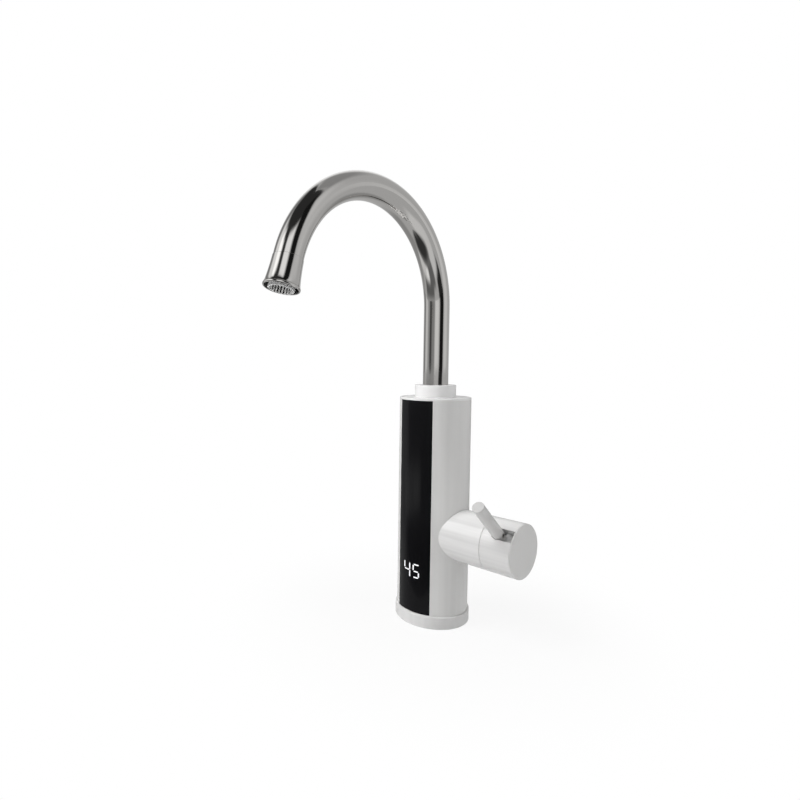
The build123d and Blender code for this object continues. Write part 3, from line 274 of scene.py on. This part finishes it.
lampSet = {
    "front": studioSet["front"],
    "aim": (0.01, -0.04, 0.14),
    "far": 1.4,
    # degrees to the camera's right and up, then size and power
    "lamps": {
        "leftLamp": (-75, 10, 0.6, 3.2),
        "leftTopLamp": (-80, 50, 0.7, 15.0),
        "topLamp": (0, 88, 0.8, 2.6),
        "frontLamp": (26, 20, 0.8, 1.3),
        "rightLamp": (65, 15, 0.6, 2.3),
        "rightTopLamp": (66, 50, 0.8, 4.0),
    },
}


def addLamps(s):  # they light the plastics, and the metal doesn't show them
    for name, (right, rise, size, power) in s["lamps"].items():
        side = math.radians(right + s["front"])
        up = math.radians(rise)
        way = Vector((math.cos(side) * math.cos(up), math.sin(side) * math.cos(up), math.sin(up)))
        bpy.ops.object.light_add(type="AREA", location=Vector(s["aim"]) + way * s["far"])
        lamp = bpy.context.object
        lamp.name = name
        lamp.rotation_euler = way.to_track_quat("Z", "Y").to_euler()
        lamp.data.shape = "SQUARE"
        lamp.data.size = size
        lamp.data.energy = power
        lamp.visible_glossy = False


addStudio(studioSet)
addFloor(studioSet)
addLamps(lampSet)
print("studio: lit")


# The finishes: one for each of the record's material slots, a near-black steel that paints the shade inside
# the nozzle, and some white pieces' own
def startMaterial(name):
    material = bpy.data.materials.new(name)
    material.use_nodes = True
    tree = material.node_tree
    return material, tree, tree.nodes["Principled BSDF"]


skinSet = {  # metres that the bumps stand out at full strength
    "wave": 0.0004,
    "grain": 0.0002,
}


def skinGroup(s):  # fine moulded or cast grain, with a slow change of tone that may run one way
    tree, takes, gives = newGroup("mouldedSkin", [
        ("Vector", "Vector", None), ("Flow", "Vector", None), ("Color", "Color", (0.8, 0.8, 0.8, 1)),
        ("Tone", "Float", 0.03), ("Flow Scale", "Float", 22), ("Grain", "Float", 900),
        ("Depth", "Float", 0.1), ("Wave", "Float", 0), ("Roughness", "Float", 0.3),
        ("Spread", "Float", 0.05)], [("Color", "Color"), ("Roughness", "Float"), ("Normal", "Vector")])
    slow = addNode(tree, "ShaderNodeTexNoise", {"Detail": 2})
    fine = addNode(tree, "ShaderNodeTexNoise", {"Detail": 1})
    join(tree, (takes["Flow"], slow.inputs["Vector"]), (takes["Flow Scale"], slow.inputs["Scale"]),
         (takes["Vector"], fine.inputs["Vector"]), (takes["Grain"], fine.inputs["Scale"]))
    swing = mathNode(tree, "SUBTRACT", slow.outputs["Fac"], 0.5)
    lift = mathNode(tree, "MULTIPLY_ADD", swing, takes["Tone"], 1)
    tone = addNode(tree, "ShaderNodeVectorMath", operation="SCALE")
    join(tree, (takes["Color"], tone.inputs[0]), (lift, tone.inputs["Scale"]),
         (tone.outputs[0], gives["Color"]))
    rough = mathNode(tree, "MULTIPLY_ADD", swing, takes["Spread"], takes["Roughness"], clamp=True)
    wave = addNode(tree, "ShaderNodeBump", {"Distance": s["wave"]})
    bump = addNode(tree, "ShaderNodeBump", {"Distance": s["grain"]})
    join(tree, (rough, gives["Roughness"]), (slow.outputs["Fac"], wave.inputs["Height"]),
         (takes["Wave"], wave.inputs["Strength"]), (fine.outputs["Fac"], bump.inputs["Height"]),
         (takes["Depth"], bump.inputs["Strength"]), (wave.outputs[0], bump.inputs["Normal"]),
         (bump.outputs[0], gives["Normal"]))
    return tree


mouldedSkin = skinGroup(skinSet)


def skinMaterial(name, s):
    material, tree, shader = startMaterial(name)
    way = addNode(tree, "ShaderNodeTexCoord").outputs["Object"]
    flow = addNode(tree, "ShaderNodeMapping", {"Scale": s.get("along", (1, 1, 1))})
    skin = addNode(tree, "ShaderNodeGroup", node_tree=mouldedSkin)
    for label, value in s.items():
        if label in skin.inputs:
            skin.inputs[label].default_value = (*value, 1) if label == "Color" else value
    join(tree, (way, skin.inputs["Vector"]), (way, flow.inputs["Vector"]),
         (flow.outputs[0], skin.inputs["Flow"]), (skin.outputs["Color"], shader.inputs["Base Color"]),
         (skin.outputs["Roughness"], shader.inputs["Roughness"]),
         (skin.outputs["Normal"], shader.inputs["Normal"]))
    for label, value in s.get("shader", {}).items():
        shader.inputs[label].default_value = value
    return material


# "along" squeezes the skin's slow change by axis, and "shader" is set on the surface's own sockets
finishSet = {
    "white_plastic": {"Color": (0.815, 0.81, 0.8), "Tone": 0.13, "Flow Scale": 200, "along": (1, 1, 0.015),
                      "Grain": 2400, "Depth": 0.012, "Wave": 0.02, "Roughness": 0.15, "Spread": 0.08,
                      "shader": {"IOR": 1.58}},
    "panel_plastic": {"Color": (0.006, 0.006, 0.007), "Tone": 0.2, "Grain": 900, "Depth": 0.004,
                      "Roughness": 0.12, "Spread": 0.05,
                      "shader": {"IOR": 1.5, "Specular IOR Level": 0.14}},
    "display_plastic": {"Color": (0.03, 0.03, 0.032), "Tone": 0.1, "Grain": 1500, "Depth": 0.1,
                        "Roughness": 0.4},
    "board": {"Color": (0.02, 0.12, 0.05), "Tone": 0.2, "Grain": 1600, "Depth": 0.15, "Roughness": 0.35},
    "dark_plastic": {"Color": (0.025, 0.025, 0.027), "Tone": 0.15, "Grain": 1500, "Depth": 0.12,
                     "Roughness": 0.45},
    "terminal_plastic": {"Color": (0.09, 0.28, 0.16), "Tone": 0.1, "Grain": 1500, "Depth": 0.1,
                         "Roughness": 0.45},
    "soft_rubber": {"Color": (0.018, 0.018, 0.018), "Tone": 0.2, "Grain": 1200, "Depth": 0.25,
                    "Roughness": 0.7},
    "lead_insulation": {"Color": (0.42, 0.05, 0.03), "Tone": 0.08, "Grain": 1800, "Depth": 0.08,
                        "Roughness": 0.5},
    "bright_steel": {"Color": (0.56, 0.55, 0.535), "Tone": 0.04, "Flow Scale": 240, "Grain": 1500,
                     "Depth": 0.001, "Roughness": 0.075, "Spread": 0.05, "shader": {"Metallic": 1}},
    # near-black steel: painted shade on the nozzle's inner wall and inside the aerator ring
    "painted_shade_steel": {"Color": (0.03, 0.03, 0.03), "Tone": 0.2, "Grain": 1200, "Depth": 0.05,
                   "Roughness": 0.35, "Spread": 0.15, "shader": {"Metallic": 0.5}},
    "plain_steel": {"Color": (0.5, 0.49, 0.47), "Tone": 0.08, "Grain": 1200, "Depth": 0.05,
                    "Roughness": 0.32, "Spread": 0.15, "shader": {"Metallic": 1}},
    "cast_brass": {"Color": (0.62, 0.44, 0.2), "Tone": 0.12, "Grain": 800, "Depth": 0.12,
                   "Roughness": 0.38, "Spread": 0.2, "shader": {"Metallic": 1}},
    "ceramic": {"Color": (0.75, 0.72, 0.66), "Tone": 0.05, "Grain": 2000, "Depth": 0.04,
                "Roughness": 0.3},
    # the ribs' colour is partly their own white and partly painted light: lifted above the body's white
    # where the lamps can't reach inside the nozzle
    "aerator_plastic": {"Color": (0.94, 0.94, 0.93), "Tone": 0.04, "Grain": 1500, "Depth": 0.01,
                        "Roughness": 0.1, "shader": {"IOR": 2.2}},
    "magnet": {"Color": (0.1, 0.1, 0.11), "Tone": 0.2, "Grain": 1200, "Depth": 0.15, "Roughness": 0.4,
               "shader": {"Metallic": 0.6}},
    "reed_glass": {"Color": (0.55, 0.62, 0.58), "Tone": 0.1, "Grain": 600, "Depth": 0.02, "Roughness": 0.1},
}
whiteSet = {  # the white pieces whose tone or streaks differ from the body's; several are copies of the body's white with painted light, painted shade or painted streak highlights
    "base_ring": {"Color": (0.81, 0.805, 0.8)},
    # the cap is the body's white lifted: painted light on its top
    "top_cap": {"Color": (0.91, 0.905, 0.9), "Tone": 0.02},
    # the collar is the body's white lifted: painted light falling from above
    "spout_collar": {"Color": (0.95, 0.945, 0.945), "Tone": 0.02},
    # the sleeve's and knob's lengthwise tone streaks in the colour are painted streak highlights, with a
    # faint bump
    "valve_sleeve": {"Color": (0.83, 0.825, 0.82), "along": (0.02, 1, 1), "Tone": 0.28, "Flow Scale": 330},
    "knob_shell": {"Color": (0.8, 0.795, 0.79), "along": (0.02, 1, 1), "Tone": 0.28, "Flow Scale": 330},
    # the end disc is the body's white darkened: painted shade
    "knob_end_disc": {"Color": (0.775, 0.77, 0.76), "along": (1, 1, 1), "Tone": 0.02, "Wave": 0},
    # the knob core is the body's white lifted: painted light in the slot
    "knob_core": {"Color": (0.9, 0.9, 0.9)},
    # the rod is the body's white darkened: painted shade
    "lever_rod": {"Color": (0.7, 0.695, 0.685), "Tone": 0.06, "along": (1, 0.1, 0.1)},
}
finishes = {name: skinMaterial(name, facts) for name, facts in finishSet.items()}
for nodeName, changes in whiteSet.items():
    finishes[nodeName] = skinMaterial(nodeName, {**finishSet["white_plastic"], **changes})


def dressNodes():
    left = set()
    for name, piece in frame["nodes"].items():
        for holder in piece.material_slots:
            old = holder.material.name.split(".")[0]
            holder.material = finishes.get(name) or finishes.get(old)
            if holder.material is None:
                left.add(name)
    print("finishes: nodes without one", sorted(left))


dressNodes()


# Helpers for the pieces made here
def pick(piece):
    bpy.ops.object.select_all(action="DESELECT")
    piece.select_set(True)
    bpy.context.view_layer.objects.active = piece


def applyAll(piece):
    pick(piece)
    for modifier in list(piece.modifiers):
        bpy.ops.object.modifier_apply(modifier=modifier.name)


def settle(piece):  # leaves the finished piece at the origin, unturned, with its place in its mesh
    pick(piece)
    bpy.ops.object.transform_apply(location=True, rotation=True, scale=True)


weldGap = 0.000002  # metres


def closeUp():  # welds what is being edited and turns its faces outward
    bpy.ops.mesh.select_all(action="SELECT")
    bpy.ops.mesh.remove_doubles(threshold=weldGap)
    bpy.ops.mesh.normals_make_consistent(inside=False)


def turned(name, steps, sides):  # a round piece about Z, from rings of (radius, height) in millimetres
    bpy.ops.object.select_all(action="DESELECT")
    radius, height = steps[0]
    bpy.ops.mesh.primitive_circle_add(vertices=sides, radius=radius / perMetre,
                                      location=(0, 0, height / perMetre))
    piece = bpy.context.object
    piece.name = name
    bpy.ops.object.mode_set(mode="EDIT")
    bpy.ops.mesh.select_all(action="SELECT")
    for nextRadius, nextHeight in steps[1:]:
        bpy.ops.mesh.extrude_edges_move()
        bpy.ops.transform.translate(value=(0, 0, (nextHeight - height) / perMetre))
        ratio = nextRadius / radius
        bpy.ops.transform.resize(value=(ratio, ratio, 1), center_override=(0, 0, nextHeight / perMetre))
        radius, height = nextRadius, nextHeight
    closeUp()
    bpy.ops.object.mode_set(mode="OBJECT")
    settle(piece)
    return piece


def place(piece, point, way):  # moves a piece made about Z to a point, with Z along a way
    piece.location = point
    piece.rotation_euler = Vector(way).to_track_quat("Z", "Y").to_euler()
    settle(piece)


def smooth(piece, angle):
    pick(piece)
    bpy.ops.object.shade_smooth_by_angle(angle=math.radians(angle), keep_sharp_edges=False)


def finishPiece(piece, body, slot, material, *replaced):
    piece.data.materials.clear()
    piece.data.materials.append(material)
    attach(piece, body)
    if replaced:
        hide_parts(*replaced)


nozzleSet = {
    "start": (0, -0.158313, 0.276613),  # the middle of the arch's end
    "way": (0, -0.28234, -0.95931),  # out of the arch's end
    "sides": 128,
    "crease": 40,  # degrees, from which an edge stays sharp
    # the rest is in millimetres, with distances from the nozzle's top
    "dark": (5.1, 20.1),  # between these distances the inside is painted near-black as shade
    # radius and distance, down the outside, round the lip and up the bore
    "steps": [(10.08, 0.04), (10.25, 0.22), (10.3, 1.5), (10.41, 4), (10.58, 7), (10.82, 10), (11.08, 12.8),
              (11.34, 15.1), (11.58, 16.7), (11.8, 17.7), (12.02, 18.35), (11.9, 18.46), (12.0, 18.56),
              (12.22, 18.74), (12.36, 19.05), (12.4, 19.4), (12.37, 19.75), (12.25, 20.05), (12.05, 20.28),
              (11.75, 20.39), (11.5, 20.36), (11.3, 20.2), (11.18, 19.95), (9.05, 12.6), (9.02, 12.2),
              (9.02, 5.05), (7.0, 5.05), (7.0, -3.98), (8.74, -3.98), (8.74, 0.04), (10.08, 0.04)],
}
insertSet = {
    "start": nozzleSet["start"],
    "way": nozzleSet["way"],
    # radius and distance, out across the ring's top, down its outside, round its end and back
    "steps": [(8.15, 7.45), (8.6, 7.45), (8.6, 20.9), (8.56, 21.1), (8.45, 21.2), (8.3, 21.2),
              (8.19, 21.1), (8.15, 20.9), (8.15, 7.45)],
    "sides": 96,
    # centre radius, rib radius, first and last distance of the ribs inside and outside
    "ribs": [(7.95, 0.62, 7.5, 21.05), (8.48, 0.4, 12.9, 21.05)],
    "count": 24,
    "facets": 14,
    "weld": 0.000001,  # metres
    "crease": 50,
    "darkRadius": 8.15,  # the inside of the ring, seen between the ribs, painted near-black as shade
    "darkGap": 0.02,
}


def addNozzle(s):  # the bell at the spout's end
    nozzle = turned("nozzle_bell", s["steps"], s["sides"])
    finishPiece(nozzle, "spout", "bright_steel", finishes["bright_steel"], "nozzle")
    nozzle.data.materials.append(finishes["painted_shade_steel"])
    first, last = s["dark"]
    # the inward faces between those distances take the near-black steel: painted shade on the bore's inner
    # wall
    for face in nozzle.data.polygons:
        inward = face.normal.x * face.center.x + face.normal.y * face.center.y < 0
        face.material_index = int(inward and first < face.center.z * perMetre < last)
    place(nozzle, s["start"], s["way"])
    smooth(nozzle, s["crease"])
    print("nozzle: bell made")


def addInsert(s):  # the light ring of ribs in the nozzle's mouth
    insert = turned("aerator_ribs", s["steps"], s["sides"])
    pick(insert)
    bpy.ops.object.mode_set(mode="EDIT")
    for across, radius, first, last in s["ribs"]:
        bpy.ops.mesh.select_all(action="DESELECT")
        bpy.ops.mesh.primitive_cylinder_add(
            vertices=s["facets"], radius=radius / perMetre, depth=(last - first) / perMetre,
            location=(across / perMetre, 0, (first + last) / 2 / perMetre))
        bpy.ops.mesh.spin(steps=s["count"], dupli=True, angle=2 * math.pi, center=(0, 0, 0),
                          axis=(0, 0, 1))
    bpy.ops.mesh.select_all(action="SELECT")
    bpy.ops.mesh.remove_doubles(threshold=s["weld"])
    bpy.ops.object.mode_set(mode="OBJECT")
    finishPiece(insert, "spout", "aerator_plastic", finishes["aerator_plastic"],
                "aerator_insert")
    insert.data.materials.append(finishes["painted_shade_steel"])
    # the ring's inner face takes the near-black steel: painted shade between the ribs
    for face in insert.data.polygons:
        out = math.hypot(face.center.x, face.center.y) * perMetre
        face.material_index = int(abs(out - s["darkRadius"]) < s["darkGap"])
    place(insert, s["start"], s["way"])
    smooth(insert, s["crease"])
    print("aerator: ribs made")


addNozzle(nozzleSet)
addInsert(insertSet)


beadSet = {
    "names": {"strip_bead_left": -1, "strip_bead_right": 1},
    "radius": 0.00026,
    "sides": 16,
    "ring": 0.02808,  # from the body's axis to the bead's middle
    "angle": 32.25,  # degrees from the front
    "low": 0.0104,
    "high": 0.1801,
    "bevelSteps": 2,
    "crease": 35,
}


def addBeads(s):  # the thin raised line on each side of the dark strip
    turn = math.radians(s["angle"])
    for name, side in s["names"].items():
        bpy.ops.object.select_all(action="DESELECT")
        spot = (side * s["ring"] * math.sin(turn), -s["ring"] * math.cos(turn),
                (s["low"] + s["high"]) / 2)
        bpy.ops.mesh.primitive_cylinder_add(vertices=s["sides"], radius=s["radius"],
                                            depth=s["high"] - s["low"], location=spot)
        bead = bpy.context.object
        bead.name = name
        settle(bead)
        edge = bead.modifiers.new("ends", "BEVEL")
        edge.width = s["radius"] / 2
        edge.segments = s["bevelSteps"]
        applyAll(bead)
        smooth(bead, s["crease"])
        # the beads take the cap's lifted white, which holds painted light
        finishPiece(bead, "body", "white_plastic", finishes["top_cap"])
    print("strip: beads made")


addBeads(beadSet)


pins = {joint["name"]: joint.get("pos_m") for joint in frame["joints"]}
shieldSet = {
    "pin": pins["lever_tilt"],
    "turn": 47.5,  # degrees from straight up towards the front
    "radius": 0.0098,
    "wall": 0.0008,
    "width": 0.0088,
    "first": 20,  # degrees from the rod towards the knob's end
    "last": 68,
    "steps": 20,
    "crease": 35,
}


def addShield(s):  # the curved plate that turns with the lever and closes the knob's slot below it
    bpy.ops.object.select_all(action="DESELECT")
    first = math.radians(s["first"])
    spot = (s["radius"] * math.sin(first), 0, s["radius"] * math.cos(first))
    bpy.ops.mesh.primitive_plane_add(size=1, location=spot, rotation=(0, math.pi / 2 + first, 0))
    shield = bpy.context.object
    shield.name = "lever_shield"
    shield.scale = (s["wall"], s["width"], 1)
    settle(shield)
    bpy.ops.object.mode_set(mode="EDIT")
    bpy.ops.mesh.select_all(action="SELECT")
    bpy.ops.mesh.spin(steps=s["steps"], angle=math.radians(s["last"] - s["first"]),
                      center=(0, 0, 0), axis=(0, -1, 0))
    closeUp()
    bpy.ops.object.mode_set(mode="OBJECT")
    shield.rotation_euler = (math.radians(s["turn"]), 0, 0)
    shield.location = s["pin"]
    settle(shield)
    smooth(shield, s["crease"])
    # the shield takes the knob core's lifted white: painted light in the slot
    finishPiece(shield, "lever", "white_plastic", finishes["knob_core"])
    print("lever: shield made")


addShield(shieldSet)


leadSet = {
    "roundSteps": 6,
    "alongSteps": 24,
    "crease": 50,
    "wires": {
        # the node that each stands for, its radius and the corners of its routes, in millimetres
        "heater_wires": ("heater_leads", 1.1, [
            [(-6, 19.95, 17.3), (-6, 19.95, 92.25), (0.5, 4.5, 99.25), (0.5, 4.5, 113.25)],
            [(6, 19.95, 17.3), (6, 19.95, 30.05), (10.2, 19.713, 52), (10.2, 19.713, 92.25),
             (9.5, -6, 99.25), (9.5, -6, 113.25)]]),
        "display_wire": ("display_lead", 0.8, [
            [(-7, -19.7, 46), (-7, -14.2, 46), (-14.45, -9.5, 48), (-19.95, -9.5, 48)]]),
    },
}


def addRoute(wires, route):  # a smooth line that leans on the route's corners
    line = wires.splines.new("NURBS")
    line.points.add(len(route) - 1)
    for corner, point in zip(route, line.points):
        point.co = (*(part / perMetre for part in corner), 1)
    line.order_u = 3
    line.use_endpoint_u = True


def addLeads(s):  # the insulated wires inside the body
    for name, (node, radius, routes) in s["wires"].items():
        wires = bpy.data.curves.new(name, "CURVE")
        wires.dimensions = "3D"
        wires.bevel_depth = radius / perMetre
        wires.bevel_resolution = s["roundSteps"]
        wires.resolution_u = s["alongSteps"]
        wires.use_fill_caps = True
        for route in routes:
            addRoute(wires, route)
        piece = bpy.data.objects.new(name, wires)
        bpy.context.collection.objects.link(piece)
        pick(piece)
        bpy.ops.object.convert(target="MESH")
        piece = bpy.context.object
        smooth(piece, s["crease"])
        finishPiece(piece, "body", "lead_insulation", finishes["lead_insulation"], node)
    print("leads: wires made")


addLeads(leadSet)


# The lit digits, laid on the dark strip
litSet = {
    "base": (0.8, 0.8, 0.82, 1),
    "roughness": 0.4,
    "grain": 500,
    "glow": ((0.72, 0.74, 0.78, 1), (1, 1, 1, 1)),
    "strength": 0.55,
}
digitSet = {
    "stroke": 0.00098,
    "corner": 0.36,  # share of the stroke that is cut off a bar's corners
    "cuts": 3,
    "out": 0.00004,  # in front of the strip
    "thickness": 0.0001,
    "ahead": -0.0295,  # where the bars are drawn before they are laid on the strip
    # x and height of each bar's ends, in millimetres
    "digits": {
        "digit_four": [(-7.15, 49.9, -7.1, 44.7), (-6.85, 44.0, -1.95, 43.9), (-1.65, 49.7, -1.6, 44.5),
                       (-1.55, 43.5, -1.5, 38.6)],
        "digit_five": [(2.3, 49.35, 6.5, 49.2), (1.75, 48.9, 1.75, 44.5), (2.2, 43.8, 6.0, 43.7),
                       (6.4, 43.2, 6.4, 39.4), (2.1, 39.0, 6.1, 38.9)],
    },
}


def litMaterial(s):
    material, tree, shader = startMaterial("litDigits")
    shader.inputs["Base Color"].default_value = s["base"]
    shader.inputs["Roughness"].default_value = s["roughness"]
    way = addNode(tree, "ShaderNodeTexCoord").outputs["Object"]
    noise = addNode(tree, "ShaderNodeTexNoise", {"Scale": s["grain"]})
    glow = addNode(tree, "ShaderNodeValToRGB")
    for element, color in zip(glow.color_ramp.elements, s["glow"]):
        element.color = color
    join(tree, (way, noise.inputs["Vector"]), (noise.outputs["Fac"], glow.inputs["Fac"]),
         (glow.outputs["Color"], shader.inputs["Emission Color"]))
    shader.inputs["Emission Strength"].default_value = s["strength"]
    return material


def addBar(s, x1, z1, x2, z2):  # one lit bar with its corners cut, drawn in front of the strip
    length = math.hypot(x2 - x1, z2 - z1) / perMetre
    middle = Vector(((x1 + x2) / 2 / perMetre, s["ahead"], (z1 + z2) / 2 / perMetre))
    bpy.ops.mesh.primitive_plane_add(size=1, location=middle, rotation=(math.pi / 2, 0, 0))
    bpy.ops.transform.resize(value=(length, 1, s["stroke"]), center_override=middle)
    bpy.ops.transform.rotate(value=math.atan2(z2 - z1, x2 - x1), orient_axis="Y",
                             center_override=middle)
    bpy.ops.mesh.bevel(offset=s["stroke"] * s["corner"], segments=1, affect="VERTICES")
    bpy.ops.mesh.subdivide(number_cuts=s["cuts"])


def addDigits(s, material):  # each digit's bars, wrapped onto the strip and given a thickness
    for name, bars in s["digits"].items():
        bpy.ops.object.select_all(action="DESELECT")
        bpy.ops.mesh.primitive_plane_add(size=1, location=(0, 0, 0))
        digit = bpy.context.object
        digit.name = name
        bpy.ops.object.mode_set(mode="EDIT")
        bpy.ops.mesh.delete(type="VERT")
        for bar in bars:
            addBar(s, *bar)
            bpy.ops.mesh.select_all(action="DESELECT")
        bpy.ops.object.mode_set(mode="OBJECT")
        wrap = digit.modifiers.new("onStrip", "SHRINKWRAP")
        wrap.target = frame["nodes"]["display_panel"]
        wrap.wrap_method = "PROJECT"
        wrap.use_project_y = True
        wrap.use_negative_direction = False
        wrap.use_positive_direction = True
        wrap.offset = s["out"]
        wall = digit.modifiers.new("thickness", "SOLIDIFY")
        wall.thickness = s["thickness"]
        wall.offset = 0
        applyAll(digit)
        finishPiece(digit, "body", "display_plastic", material)
    print("digits: made")


addDigits(digitSet, litMaterial(litSet))
